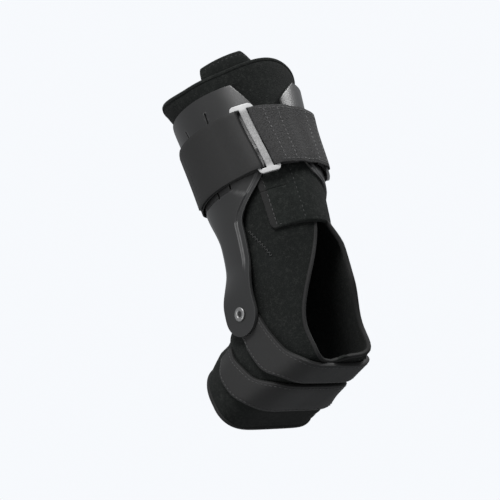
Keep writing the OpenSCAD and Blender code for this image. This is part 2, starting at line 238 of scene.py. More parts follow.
def new_object(name, verts, faces, uv=None):
    """Clean closed mesh object from points in millimetres; uv gives each face corner's place."""
    mesh = bpy.data.meshes.new(name)
    mesh.from_pydata((np.asarray(verts) * MM).tolist(), [], [list(map(int, f)) for f in faces])
    if uv is not None:
        layer = mesh.uv_layers.new(name="UVMap")
        layer.data.foreach_set("uv", np.asarray(uv, np.float32).ravel() * MM)
    smooth_faces(mesh)
    bm = bmesh.new()
    bm.from_mesh(mesh)
    bmesh.ops.delete(bm, geom=[v for v in bm.verts if not v.link_faces], context="VERTS")
    bmesh.ops.remove_doubles(bm, verts=bm.verts, dist=1e-6)
    bmesh.ops.recalc_face_normals(bm, faces=bm.faces)
    bm.to_mesh(mesh)
    bm.free()
    return link_object(name, mesh)


def slab(name, outer, inner, open_rows=None):
    """Closed solid between two grids. Where open_rows is given and False, the row's last column is
    its first one again, so that the solid closes into a ring there."""
    outer, inner = np.asarray(outer, float), np.asarray(inner, float)
    rows, cols = outer.shape[:2]
    n = rows * cols
    split = np.ones(rows, bool) if open_rows is None else open_rows
    along = np.linalg.norm(np.diff(outer, axis=1), axis=2).mean(0)
    across = np.linalg.norm(np.diff(outer, axis=0), axis=2).mean(1)
    uu, vv = (np.concatenate([[0], np.cumsum(d)]) for d in (along, across))
    faces, uv = [], []

    def vid(i, j):
        return i * cols + (j if j < cols - 1 or split[i] else 0)

    def quad(corners, places, turn=1):
        faces.append(corners[::turn])
        uv.extend(places[::turn])

    for i in range(rows - 1):
        for j in range(cols - 1):
            a, b, c, d = vid(i, j), vid(i, j + 1), vid(i + 1, j + 1), vid(i + 1, j)
            at = [(uu[j], vv[i]), (uu[j + 1], vv[i]), (uu[j + 1], vv[i + 1]), (uu[j], vv[i + 1])]
            quad([a, b, c, d], at)
            quad([n + a, n + d, n + c, n + b], [at[0], at[3], at[2], at[1]])
    for i, turn in ((0, 1), (rows - 1, -1)):
        for j in range(cols - 1):
            a, b, v = vid(i, j), vid(i, j + 1), vv[i]
            at = [(uu[j], v), (uu[j], v + 1), (uu[j + 1], v + 1), (uu[j + 1], v)]
            quad([a, n + a, n + b, b], at, turn)
    for i in range(rows - 1):
        if split[i] or split[i + 1]:
            for j, turn in ((0, 1), (cols - 1, -1)):
                a, b, u = vid(i, j), vid(i + 1, j), uu[j]
                at = [(u, vv[i]), (u, vv[i + 1]), (u + 1, vv[i + 1]), (u + 1, vv[i])]
                quad([a, b, n + b, n + a], at, turn)
    return new_object(name, np.concatenate([outer.reshape(-1, 3), inner.reshape(-1, 3)]), faces, uv)


def cell_plate(name, outer, inner, keep):
    """Closed plate between two grids, in which only the cells that keep(i, j) names are filled."""
    rows, cols = outer.shape[:2]
    n = rows * cols

    def on(i, j):
        return 0 <= i < rows - 1 and 0 <= j < cols - 1 and keep(i, j)

    faces = []
    for i in range(rows - 1):
        for j in range(cols - 1):
            if not on(i, j):
                continue
            a, b, c, d = i * cols + j, i * cols + j + 1, (i + 1) * cols + j + 1, (i + 1) * cols + j
            faces += [[a, b, c, d], [n + a, n + d, n + c, n + b]]
            for filled, p, q in ((on(i - 1, j), a, b), (on(i + 1, j), c, d),
                                 (on(i, j - 1), d, a), (on(i, j + 1), b, c)):
                if not filled:
                    faces.append([p, n + p, n + q, q])
    return new_object(name, np.concatenate([outer.reshape(-1, 3), inner.reshape(-1, 3)]), faces)


def tube(name, points, normals, half_in, half_out, closed=True, sides=10):
    """Flattened tube swept along points: half_in is its half width across the fabric and half_out
    its half thickness along normals."""
    p, n = np.asarray(points, float), unit(np.asarray(normals, float))
    if closed:
        tangent = unit(np.roll(p, -1, 0) - np.roll(p, 1, 0))
    else:
        tangent = unit(np.gradient(p, axis=0))
    across = unit(np.cross(n, tangent))
    n = unit(np.cross(tangent, across))
    ang = np.linspace(0, 2 * math.pi, sides, endpoint=False)
    squareness = 0.75
    cx = np.sign(np.cos(ang)) * np.abs(np.cos(ang)) ** squareness * half_in
    cy = np.sign(np.sin(ang)) * np.abs(np.sin(ang)) ** squareness * half_out
    rings = p[:, None] + across[:, None] * cx[None, :, None] + n[:, None] * cy[None, :, None]
    count = len(p)
    along = run_length(np.concatenate([p, p[:1]]))
    around = np.linspace(0, 2 * (half_in + half_out) * 1.5, sides + 1)
    faces, uv = [], []
    for i in range(count if closed else count - 1):
        k = (i + 1) % count
        for j in range(sides):
            m = (j + 1) % sides
            faces.append([i * sides + j, k * sides + j, k * sides + m, i * sides + m])
            uv.extend([(along[i], around[j]), (along[i + 1], around[j]),
                       (along[i + 1], around[j + 1]), (along[i], around[j + 1])])
    if not closed:
        for i, order in ((0, 1), (count - 1, -1)):
            faces.append([i * sides + j for j in range(sides)][::order])
            uv.extend([(0, 0)] * sides)
    return new_object(name, rings.reshape(-1, 3), faces, uv)


def stitches(name, lines, length=2.3, gap=1.3, thick=0.33):
    """Sewn thread: small rounded stitches along lines, each a pair (points, normals)."""
    verts, faces = [], []
    ring = 6
    profile = [(-0.5, 0.25), (-0.36, 0.85), (0, 1), (0.36, 0.85), (0.5, 0.25)]
    for p, n in lines:
        s = run_length(p)

        def at(q, values):
            return np.array([np.interp(q, s, values[:, k]) for k in range(3)])

        for start in np.arange(gap, s[-1] - length, length + gap):
            first, last = at(start, p), at(start + length, p)
            up, axis = unit(at(start + length / 2, n)), last - first
            side, mid, base = unit(np.cross(up, axis)), (first + last) / 2, len(verts)
            for place, width in profile:
                arch = up * thick * 0.35 * (1 - (2 * place) ** 2)
                for k in range(ring):
                    w = 2 * math.pi * k / ring
                    verts.append(mid + axis * place + arch
                                 + (side * math.cos(w) + up * math.sin(w)) * thick * width)
            for i in range(len(profile) - 1):
                for k in range(ring):
                    m = (k + 1) % ring
                    a = base + i * ring
                    faces.append([a + k, a + m, a + ring + m, a + ring + k])
            faces.append([base + k for k in range(ring)][::-1])
            faces.append([base + (len(profile) - 1) * ring + k for k in range(ring)])
    return new_object(name, verts, faces)


def lathe(name, profile, sides=48):
    """Turned piece about the hinge axis from (radius, y) points."""
    ang = np.linspace(0, 2 * math.pi, sides, endpoint=False)
    rings = [[(HINGE[0] + r * math.cos(w), y, HINGE[2] + r * math.sin(w)) for w in ang]
             for r, y in profile]
    faces = []
    for i in range(len(profile) - 1):
        for j in range(sides):
            m = (j + 1) % sides
            faces.append([i * sides + j, i * sides + m, (i + 1) * sides + m, (i + 1) * sides + j])
    for i in (0, len(profile) - 1):
        faces.append([i * sides + j for j in range(sides)])
    return new_object(name, np.array(rings).reshape(-1, 3), faces)


def bake(obj):
    """Applies the object's modifiers."""
    evaluated = obj.evaluated_get(bpy.context.evaluated_depsgraph_get())
    mesh = bpy.data.meshes.new_from_object(evaluated)
    mesh.name = obj.name
    obj.modifiers.clear()
    obj.data = mesh
    smooth_faces(mesh)
    return obj


def round_edges(obj, width, segments=2):
    m = obj.modifiers.new("round", "BEVEL")
    m.width, m.segments = width * MM, segments
    m.limit_method, m.angle_limit = "ANGLE", math.radians(38)
    m.harden_normals = False
    return bake(obj)


def cut(obj, cutters):
    for c in cutters:
        m = obj.modifiers.new("cut", "BOOLEAN")
        m.operation, m.object, m.solver = "DIFFERENCE", c, "EXACT"
    bake(obj)
    for c in cutters:
        bpy.data.objects.remove(c)


def join(name, objs):
    """One object from several, with their meshes put together."""
    bm = bmesh.new()
    for o in objs:
        bm.from_mesh(o.data)
    mesh = bpy.data.meshes.new(name)
    bm.to_mesh(mesh)
    bm.free()
    for o in objs:
        bpy.data.objects.remove(o)
    smooth_faces(mesh)
    return link_object(name, mesh)


def mirrored(obj, name):
    """The medial copy of a lateral piece."""
    mesh = obj.data.copy()
    mesh.transform(Matrix.Scale(-1, 4, (0, 1, 0)))
    mesh.flip_normals()
    return link_object(name, mesh)


def points_of(obj):
    """The piece's vertices, in millimetres."""
    co = np.empty(len(obj.data.vertices) * 3)
    obj.data.vertices.foreach_get("co", co)
    return co.reshape(-1, 3) / MM


def set_attribute(obj, name, values):
    layer = obj.data.attributes.new(name, "FLOAT", "POINT")
    layer.data.foreach_set("value", np.asarray(values, np.float32))


# ---------------------------------------------------------------- materials
BLACK, WHITE = (0, 0, 0), (1, 1, 1)
MIDDLE = (0.3, 0.7)


class Shader:
    """A node material with short calls for its parts."""

    def __init__(self, name, color, roughness, **sockets):
        self.mat = bpy.data.materials.new(name)
        self.mat.use_nodes = True
        self.tree = self.mat.node_tree
        self.bsdf = self.tree.nodes["Principled BSDF"]
        self.bsdf.inputs["Base Color"].default_value = (*color, 1)
        self.bsdf.inputs["Roughness"].default_value = roughness
        for key, value in sockets.items():
            self.bsdf.inputs[key.replace("_", " ")].default_value = value
        self.object_at = self.node("ShaderNodeTexCoord").outputs["Object"]
        self.uv_at = self.node("ShaderNodeUVMap").outputs["UV"]

    def node(self, kind, **settings):
        n = self.tree.nodes.new(kind)
        for key, value in settings.items():
            setattr(n, key, value)
        return n

    def link(self, a, b):
        self.tree.links.new(a, b)

    def math(self, operation, a, b=0.0, clamp=False):
        n = self.node("ShaderNodeMath", operation=operation, use_clamp=clamp)
        for socket, value in zip(n.inputs, (a, b)):
            if isinstance(value, (int, float)):
                socket.default_value = value
            else:
                self.link(value, socket)
        return n.outputs[0]

    def texture(self, kind, output, **inputs):
        n = self.node(kind)
        for key, value in inputs.items():
            n.inputs[key].default_value = value
        self.link(self.object_at, n.inputs["Vector"])
        return n.outputs[output]

    def noise(self, scale, detail=3.0, rough=0.55):
        return self.texture("ShaderNodeTexNoise", "Fac", Scale=scale, Detail=detail, Roughness=rough)

    def cells(self, scale):
        return self.texture("ShaderNodeTexVoronoi", "Distance", Scale=scale)

    def threads(self, pitch):
        """Woven threads a pitch apart on the UV map: 0 in the gaps, 1 on the threads."""
        xy = self.node("ShaderNodeSeparateXYZ")
        self.link(self.uv_at, xy.inputs[0])
        u, v = (self.math("SINE", self.math("MULTIPLY", xy.outputs[k], 2 * math.pi / MM / pitch))
                for k in (0, 1))
        return self.math("ADD", self.math("MULTIPLY", self.math("MULTIPLY", u, v), 0.5), 0.5)

    def attribute(self, name):
        return self.node("ShaderNodeAttribute", attribute_name=name).outputs["Fac"]

    def ramp(self, fac, low, high, bounds):
        """Runs bounds (From or To, each a pair) over fac."""
        n = self.node("ShaderNodeMapRange")
        n.inputs[bounds + " Min"].default_value = low
        n.inputs[bounds + " Max"].default_value = high
        self.link(fac, n.inputs["Value"])
        return n.outputs["Result"]

    def blend_color(self, fac, a, b):
        """Colour from a to b, each a colour or a socket."""
        n = self.node("ShaderNodeMix", data_type="RGBA")
        self.link(fac, n.inputs["Factor"])
        for key, value in (("A", a), ("B", b)):
            if isinstance(value, tuple):
                n.inputs[key].default_value = (*value, 1)
            else:
                self.link(value, n.inputs[key])
        return n.outputs["Result"]

    def tint(self, fac, low, high, over=(0.0, 1.0)):
        """Colour from low to high as fac runs over a range."""
        return self.blend_color(self.ramp(fac, *over, "From"), low, high)

    def color(self, socket):
        self.link(socket, self.bsdf.inputs["Base Color"])

    def veiled(self, fac, share, base, veil):
        """Base colour with another laid over it, by a share of fac."""
        self.color(self.blend_color(self.math("MULTIPLY", fac, share, clamp=True), base, veil))

    def rough(self, fac, low, high):
        self.link(self.ramp(fac, low, high, "To"), self.bsdf.inputs["Roughness"])

    def bump(self, *layers):
        """Layers of (height, depth in millimetres), each bumped on the one before."""
        normal = None
        for height, depth in layers:
            n = self.node("ShaderNodeBump")
            n.inputs["Distance"].default_value = depth * MM
            n.inputs["Strength"].default_value = 1.0
            self.link(height, n.inputs["Height"])
            if normal is not None:
                self.link(normal, n.inputs["Normal"])
            normal = n.outputs["Normal"]
        self.link(normal, self.bsdf.inputs["Normal"])


def grey(value, warm=0.0, green=0.0):
    return (value * (1 + warm), value * (1 + green), value * (1 - warm))


def neoprene(name, level, banded=False):
    """Knitted cover over foam, near black with a faint green cast; banded lightens attribute band."""
    s = Shader(name, grey(level), 0.9, Sheen_Weight=0.02, Sheen_Roughness=0.5,
               Specular_IOR_Level=0.08)
    blotch, loops = s.noise(55, 4), s.cells(1150)
    flecks = s.math("MULTIPLY", s.noise(1000, 2, 0.8), s.noise(330, 3, 0.7))
    base = s.tint(blotch, grey(level * 0.75, -0.06, 0.16), grey(level * 1.25, -0.06, 0.14), MIDDLE)
    base = s.blend_color(s.tint(flecks, BLACK, WHITE, (0.24, 0.42)), base,
                         grey(level * 3.4, green=0.08))
    if banded:
        base = s.blend_color(s.attribute("band"), base, grey(level * 2.3))
    s.veiled(loops, 0.4, base, grey(level * 2.0, green=0.06))
    s.rough(blotch, 0.82, 0.98)
    s.bump((s.noise(24, 2), 0.5), (loops, 0.22), (s.noise(2600, 2), 0.06))
    return s.mat


def webbing(name, level):
    """Woven tape whose threads follow it."""
    s = Shader(name, grey(level), 0.72, Sheen_Weight=0.02, Sheen_Roughness=0.4,
               Specular_IOR_Level=0.2)
    weave, wear = s.threads(0.9), s.noise(40, 4)
    s.veiled(wear, 0.5, s.tint(weave, grey(level * 0.62), grey(level * 1.18)), grey(level * 1.35))
    s.rough(wear, 0.6, 0.86)
    s.bump((weave, 0.06), (s.noise(1900, 3), 0.05))
    return s.mat


def brushed_loop(name, level):
    """Napped loop fabric that a hook patch grips."""
    s = Shader(name, grey(level), 0.95, Sheen_Weight=0.04, Sheen_Roughness=0.45,
               Specular_IOR_Level=0.1)
    tufts, grain, cloud = s.cells(760), s.noise(1300, 4, 0.7), s.noise(70, 3)
    base = s.tint(grain, grey(level * 0.45), grey(level * 1.75), (0.32, 0.68))
    s.veiled(cloud, 0.45, base, grey(level * 0.8))
    s.bump((tufts, 0.35), (grain, 0.3), (cloud, 0.4))
    return s.mat


def smooth_strap(name, level):
    """Tightly laminated strap with a soft, nearly plain face."""
    s = Shader(name, grey(level), 0.62, Sheen_Weight=0.01, Specular_IOR_Level=0.22)
    grain, cloud, weave = s.noise(900, 4, 0.65), s.noise(32, 3), s.threads(0.75)
    base = s.tint(grain, grey(level * 0.82), grey(level * 1.2), MIDDLE)
    s.veiled(cloud, 0.35, base, grey(level * 1.25))
    s.rough(cloud, 0.52, 0.72)
    s.bump((cloud, 0.5), (weave, 0.035), (grain, 0.05))
    return s.mat


def moulded(name, level, roughness):
    """Moulded plastic with a fine spark-eroded grain, and a painted highlight in light grey along its
    rims.
    """
    s = Shader(name, grey(level), roughness, Specular_IOR_Level=0.5, Coat_Weight=0.1,
               Coat_Roughness=0.35)
    grain, cloud = s.noise(1500, 3, 0.6), s.noise(18, 3)
    base = s.tint(cloud, grey(level * 0.9), grey(level * 1.12), MIDDLE)
    # Painted highlight: light grey laid over the colour where attribute rim marks sharp edges.
    rim = s.math("MULTIPLY", s.attribute("rim"), s.math("ADD", s.noise(260, 4), 0.35), clamp=True)
    s.color(s.blend_color(rim, base, grey(0.17)))
    s.rough(cloud, roughness - 0.06, roughness + 0.08)
    s.bump((grain, 0.035), (cloud, 0.3))
    return s.mat


def metal(name, level, roughness=0.32, metallic=1.0):
    """Scratched metal, with a darker painted shade where attribute center is 1."""
    s = Shader(name, grey(level), roughness, Metallic=metallic)
    scratch = s.noise(420, 5, 0.7)
    base = s.tint(s.noise(90, 3), grey(level * 0.85), grey(level * 1.08), MIDDLE)
    # Painted shade: a dark tone for the buckle's middle, where the straps cross its bars.
    painted_shade = s.tint(s.noise(1100, 3, 0.7), grey(level * 0.28), grey(level * 0.62), (0.35, 0.65))
    s.color(s.blend_color(s.attribute("center"), base, painted_shade))
    s.rough(scratch, roughness - 0.08, roughness + 0.14)
    s.bump((scratch, 0.02))
    return s.mat


def thread(name, level):
    s = Shader(name, grey(level), 0.6, Sheen_Weight=0.15)
    ply = s.noise(3200, 2)
    s.color(s.tint(ply, grey(level * 0.7), grey(level * 1.3), MIDDLE))
    s.bump((ply, 0.08))
    return s.mat


def hook_tape(name, level):
    s = Shader(name, grey(level), 0.5, Specular_IOR_Level=0.5)
    hooks = s.threads(1.2)
    s.color(s.tint(hooks, grey(level * 0.6), grey(level * 1.5)))
    s.bump((hooks, 0.25), (s.noise(2400, 2), 0.05))
    return s.mat


def foam(name, level):
    s = Shader(name, grey(level), 0.95)
    pores = s.cells(1500)
    s.color(s.tint(pores, grey(level * 0.6), grey(level * 1.3)))
    s.bump((pores, 0.15))
    return s.mat


MAT = {
    "sleeve": neoprene("sleeve_fabric", 0.0046),
    "tongue": neoprene("tongue_fabric", 0.0046),
    "flap": neoprene("flap_fabric", 0.0066, banded=True),
    "binding": webbing("edge_tape", 0.008),
    "foot_strap": smooth_strap("foot_strap_face", 0.0115),
    "front_strap": smooth_strap("front_strap_face", 0.0095),
    "rear_strap": brushed_loop("rear_strap_nap", 0.027),
    "shell": moulded("shell_plastic", 0.0078, 0.34),
    "stirrup": metal("stirrup_metal", 0.5),
    "rivet": metal("rivet_metal", 0.2, 0.42, 0.8),
    "washer": moulded("washer_plastic", 0.6, 0.5),
    "buckle": metal("buckle_metal", 0.3, 0.5, 0.25),
    "thread": thread("sewing_thread", 0.016),
    "light_thread": thread("light_thread", 0.034),
    "hook": hook_tape("hook_tape", 0.012),
    "pad": foam("liner_foam", 0.02),
}


# ---------------------------------------------------------------- finishing a piece
def finish_piece(obj, mat, body, *nodes, slot=None):
    """Gives a piece its material, body and the CAD nodes that it replaces; slot is not used."""
    obj.data.materials.clear()
    obj.data.materials.append(MAT[mat])
    if body:
        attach(obj, body)
    slot or mat
    if nodes:
        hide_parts(*nodes)
    return obj


def finish_pair(obj, name, mat, body, *nodes):
    """Finishes a lateral piece and its medial twin."""
    pair = (obj, mirrored(obj, name))
    for piece, node in zip(pair, nodes):
        finish_piece(piece, mat, body, node)
    return pair


def blend_round(obj, start_a, end_a, t, off):
    """Finds the ends of a piece's peeling line on the leg, from the leg to the tab's body, and bakes
    its placement into its mesh without bending it.
    """
    start, end = (tuple(leg_pt(a, t, off) * MM) for a in (start_a, end_a))
    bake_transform(obj)


# ---------------------------------------------------------------- padded sleeve
LEG_END = 32.0
FOOT_START = 40.0
HOLE_TOP, HOLE_END = 62.0, 0.585
NEARLY_CLOSED = 179.999


def corner_path(w, bend):
    """How far a point has gone down the first leg and along the second, for w from 0 to 1."""
    u = np.clip((w - (0.5 - bend)) / (2 * bend), 0, 1)
    after = np.where(w > 0.5 + bend, bend + w - 0.5 - bend, 2 * bend * (u**3 - u**4 / 2))
    return (w - after) / 0.5, after / 0.5


def toe_edge(a):
    return 59 + 5 * sm((180 - np.abs(a) - 60) / 100)


def sleeve_point(s, a, off=0.0):
    """Point of the sleeve: s runs from 0 at the collar to 1 at LEG_END, 2 at FOOT_START and 3 at
    the toe edge; a is the angle round it, 0 in front."""
    s, a = np.broadcast_arrays(np.asarray(s, float), np.asarray(a, float))
    t = mix(COLLAR_T, LEG_END, np.clip(s, 0, 1))
    flare = (2.0 + 3.0 * sm((120 - np.abs(a)) / 80)) * sm((t - 158) / 19)
    rim = 7 * sm((np.abs(a) - 122) / 58) + 8 * sm((95 - np.abs(a)) / 60) - 1.0
    heel = 9.0 * (a < 0) * sm((62 - t) / 34) * sm((np.abs(a) - 112) / 40)
    leg = leg_pt(a, t + rim * sm((t - 150) / 27), off + flare + heel)
    around = np.where(a == 0, 180, np.sign(a) * (180 - np.abs(a)))
    foot = foot_pt(mix(FOOT_START, toe_edge(a), np.clip(s - 2, 0, 1)), around, off)
    foot_z = foot[..., 2]
    corner_x = leg[..., 0] + (leg[..., 2] - foot_z) * math.tan(LEAN)
    corner = stack(corner_x, foot_y(corner_x, foot_z, around, off), foot_z)
    bend = mix(0.32, mix(0.13, 0.09, sm((np.abs(a) - 110) / 40)), sm(np.abs(a) / 110))
    down, along = corner_path(np.clip(s - 1, 0, 1), bend)
    fan = leg + (corner - leg) * down[..., None] + (foot - corner) * along[..., None]
    return np.where((s <= 1)[..., None], leg, np.where((s >= 2)[..., None], foot, fan))


def open_angle(s, side):
    """Angle that the sleeve's fabric covers on a side, in a row: 180 where it is closed behind."""
    leg_len, fan_len = HOLE_TOP - LEG_END, 93.0
    t = mix(COLLAR_T, LEG_END, min(s, 1))
    run = HOLE_TOP - t if s <= 1 else leg_len + fan_len * (s - 1) / HOLE_END
    h = run / (leg_len + fan_len)
    if not 0 < h < 1:
        return 180.0
    gap = 42.0 * math.sin(math.pi * h**1.9) ** mix(0.85, 0.5, float(sm((h - 0.7) / 0.2)))
    if side < 0:
        gap = max(gap, 30.0 * math.sin(math.pi * min(1, h / 0.4) / 2) ** 0.5 * (h < 0.4)
                  + 30.0 * (h >= 0.4) * max(0, 1 - (h - 0.4) * 1.9))
    return 180.0 - gap


def sleeve_rows():
    top = (COLLAR_T - HOLE_TOP) / (COLLAR_T - LEG_END)
    end = 1 + HOLE_END
    hole = [mix(top, end, (1 - math.cos(math.pi * k / 36)) / 2) for k in range(37)]
    return np.array([*np.linspace(0, top, 34)[:-1], *hole, *np.linspace(end, 2, 16)[1:],
                     *np.linspace(2, 3, 6)[1:]])


def wrinkles(s, a):
    """Shallow folds where the fabric bends at the ankle, and a slight unevenness elsewhere."""
    r = np.radians(a)
    front = sm(1 - np.abs(a) / 75)
    fold = 0.9 * front * bell(s, 1.35, 0.4) * np.sin(s * 21 + 0.8 * np.cos(2 * r))
    uneven = 0.35 * np.sin(5 * r + 7 * s) * np.sin(9 * s - 2 * r)
    return np.minimum(0, fold - 0.4) + np.minimum(0, uneven - 0.2) * sm(s / 0.3)


def build_sleeve():
    rows = sleeve_rows()
    v = np.linspace(-1, 1, 129)
    half, other = (np.array([open_angle(s, side) for s in rows]) for side in (1, -1))
    a = v[None, :] * np.where(v < 0, other[:, None], half[:, None])
    s = np.broadcast_to(rows[:, None], a.shape)
    outer, inner = sleeve_point(s, a, wrinkles(s, a)), sleeve_point(s, a, -SLEEVE_TH)
    obj = slab("padded_sleeve", outer, inner, open_rows=half < NEARLY_CLOSED)
    return round_edges(obj, 0.7), rows, half, other


def edge_tape(name, s, a, half_in, proud, mat, body, node):
    p, n = with_normals(sleeve_point, s, a, -SLEEVE_TH / 2)
    tape = tube(name, p, n, half_in, SLEEVE_TH / 2 + proud)
    return finish_piece(tape, mat, body, node, slot="binding")


def build_bindings(rows, half, other):
    a = np.linspace(-180, 180, 121)[:-1]
    edge_tape("collar_edge_tape", 0 * a, a, 1.7, 0.12, "sleeve", "leg", "collar_binding")
    edge_tape("toe_edge_tape", 0 * a + 3, a, 1.7, 0.35, "binding", "foot", "front_binding")
    hole = half < NEARLY_CLOSED
    s = np.concatenate([rows[hole], rows[hole][::-1]])
    a = np.concatenate([half[hole], -other[hole][::-1]])
    return edge_tape("heel_edge_tape", s, a, 1.5, 0.35, "binding", None, "heel_binding")


BLEND_END = tuple(tilt(np.array([0.0, 0.0, 40.0])) * MM)

sleeve, *sleeve_edge = build_sleeve()
finish_piece(sleeve, "sleeve", None, "leg_sleeve", "foot_sleeve")
heel_tape = build_bindings(*sleeve_edge)
for cloth in (sleeve, heel_tape):
    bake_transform(cloth)


# ---------------------------------------------------------------- rigid shells
# On a shell, u runs from 0 at its front edge to 1 at its rear edge.
FLANGE_U, FLANGE = 0.8, 6.0
MEDIAL_WRAP = 49.0
SLOTS = ((102.3, 152.0, 98.0, 90.0), (73.8, 150.0, 83.5, 88.0))


def shell_rear(t, wrap=0.0):
    """Rear edge: its upper corner is cut off at a slant, and wrap carries it behind the leg."""
    back = 99 + 36 * sm((t - 62) / 38) + 12 * sm((t - 92) / 50) + wrap * sm((t - 64) / 24)
    if wrap:
        return soft_min(np.minimum(back, 188), 191 - 1.45 * (t - 146.5))
    return soft_min(back, 145.6 - 0.663 * (t - 143.3))


def shell_front(t):
    corner = 12 * rounded(SHELL_TOP - t, 11)
    return 64 - 22 * sm((t - 55) / 45) - 8 * sm((t - 92) / 50) + corner


def shell_local(u, t, lift, wrap):
    """Shell surface in the leg's frame: flat and round-ended at the hinge, round the leg above.
    The columns from FLANGE_U on lie on the flange along the rear edge."""
    above = np.maximum(t, 0)
    front, rear = shell_front(above), shell_rear(above, wrap)
    crease = 1 - FLANGE / (0.87 * (rear - front))
    crease = mix(FLANGE_U, crease, sm((above - 20) / 20))
    share = np.where(u < FLANGE_U, crease * u / FLANGE_U,
                     mix(crease, 1.0, (u - FLANGE_U) / (1 - FLANGE_U)))
    a = mix(front, rear, share)
    p = leg_local(a, above, SHELL_IN + lift)
    boss = np.sqrt(np.maximum(0, BOSS_R**2 - np.minimum(t, 0) ** 2)) * (1 - 2 * share)
    x = mix(boss, p[..., 0], sm(above / 25))
    return stack(x, mix(BOSS_Y + lift, p[..., 1], sm((above - 8) / 30)), t), a


def shell_relief(u, t, a):
    """Outer face: a flange that steps down along the rear edge, and a raised lower panel."""
    flange = -1.05 * sm((u - FLANGE_U) / 0.05) * sm((t - 24) / 16) * (1 - sm((t - 104) / 14))
    front = -0.6 * sm((0.12 - u) / 0.12) * sm((t - 22) / 24)
    panel_end = 89.5 - 0.68 * np.maximum(0, a - 98)
    upper = -0.6 * sm((t - panel_end) / 2.2 + 0.5) * (1 - sm((u - FLANGE_U) / 0.05) * (t < 112))
    return flange + front + upper


def slot_cutter(top_a, top_t, low_a, low_t, radius=0.8):
    """Rounded bar along a straight line on the shell, to cut a long slot."""
    k = np.linspace(0, 1, 24)
    a, t = mix(top_a, low_a, k), mix(top_t, low_t, k)
    p = leg_pt(a, t, SHELL_IN + SHELL_TH / 2)
    n = unit(leg_pt(a, t, 8.0) - leg_pt(a, t, 0.0))
    return tube("slot_cutter", p, n, radius, 4.0, closed=False, sides=16)


def mark_edge_highlight(obj):
    """Attribute rim: highest where the surface turns sharply, for a painted highlight along the edges.
    """
    bm = bmesh.new()
    bm.from_mesh(obj.data)
    bm.normal_update()
    turn = np.zeros(len(bm.verts))
    for v in bm.verts:
        normals = [f.normal for f in v.link_faces]
        turn[v.index] = max((normals[0].angle(n, 0) for n in normals), default=0)
    bm.free()
    set_attribute(obj, "rim", np.clip(turn / math.radians(28) - 0.3, 0, 1) * 0.5)


def build_shell(name, wrap=0.0):
    quarter = math.pi / 2
    rows = np.concatenate([-BOSS_R * np.cos(np.linspace(0.06, 1, 16) * quarter),
                           np.linspace(0, 80, 48)[1:], np.linspace(80, 92, 14)[1:],
                           np.linspace(92, SHELL_TOP - 8, 40)[1:],
                           SHELL_TOP - 8 + 8 * np.sin(np.linspace(0, 1, 12)[1:] * quarter)])
    columns = np.concatenate([np.linspace(0, FLANGE_U, 46), [0.825, 0.85], np.linspace(0.88, 1, 5)])
    u, t = np.meshgrid(columns, rows)
    inner, a = shell_local(u, t, 0.0, wrap)
    outer, _ = shell_local(u, t, SHELL_TH + shell_relief(u, t, a), wrap)
    obj = slab(name, tilt(outer), tilt(inner))
    cut(obj, [slot_cutter(*slot) for slot in SLOTS])
    round_edges(obj, 0.6, 3)
    mark_edge_highlight(obj)
    return obj


def flap_left(t):
    """The closing flap's lateral edge, which leans back towards its lower corner."""
    return FLAP_LEFT - 0.085 * (t - TAB_LOW)


def build_liner():
    u, t = np.meshgrid(np.linspace(0, 1, 30), np.linspace(40, SHELL_TOP - 8, 50))
    a = mix(shell_front(t) + 3, np.minimum(shell_rear(t) - 3, flap_left(t) - 1.2), u)
    return round_edges(slab("lateral_foam_liner", leg_pt(a, t, 2.45), leg_pt(a, t, 0.25)), 0.8)


lateral = build_shell("lateral_side_shell")
wrapped = build_shell("wrapped_shell", MEDIAL_WRAP)
medial = mirrored(wrapped, "medial_side_shell")
bpy.data.objects.remove(wrapped)
finish_piece(lateral, "shell", "leg", "lateral_shell")
finish_piece(medial, "shell", "leg", "medial_shell")
for pad in finish_pair(build_liner(), "medial_foam_liner", "pad", "leg",
                       "lateral_shell_pad", "medial_shell_pad"):
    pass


# ---------------------------------------------------------------- hinge rivets
def build_rivet():
    """Tubular rivet: a shank with a hole in its end, under a rounded rim."""
    face = BOSS_Y + SHELL_TH
    profile = [(RIVET_R, EYE_Y + 0.1), (RIVET_R, face + 0.05), (RIVET_HEAD_R - 0.2, face + 0.08),
               (RIVET_HEAD_R, face + 0.3), (RIVET_HEAD_R, face + 0.7), (4.9, face + 1.1),
               (4.3, face + 1.3), (3.2, face + 1.25), (2.5, face + 1.0), (2.15, face + 0.5),
               (RIVET_BORE_R, face - 2.2), (1.2, face - 2.4)]
    return lathe("lateral_tube_rivet", profile)


finish_pair(build_rivet(), "medial_tube_rivet", "rivet", "foot",
            "lateral_hinge_rivet", "medial_hinge_rivet")
for node in ("lateral_hinge_washer", "medial_hinge_washer"):
    cad = frame["nodes"][node]
    cad.data.materials.clear()
    cad.data.materials.append(MAT["washer"])


# ---------------------------------------------------------------- straps under the foot
# A band's edges are given as x over the angle round the foot, and its ends as angles over x.
ARCH_STOP = 128.0
ARCH_THIN = 1.9


def cover_front(a):
    return 11 - 18 * sm((115 - np.abs(a)) / 72)


def cover_rear(a):
    return -11 - 18.5 * sm((120 - np.abs(a)) / 77)


def cover_stop(x):
    reach = BOSS_R - 3.0
    return z_angle(x, HINGE[2] - np.sqrt(np.maximum(0, reach**2 - np.minimum(x * x, 100.0))))


def stirrup_stop(x):
    return z_angle(x, HINGE[2] - 7)


def arch_front(a):
    return 30.5 + 12 * sm((np.abs(a) - 50) / 60)


def arch_rear(a):
    return -2 + 29 * sm((np.abs(a) - 30) / 100)


def arch_stop(x):
    return ARCH_STOP + 0 * x


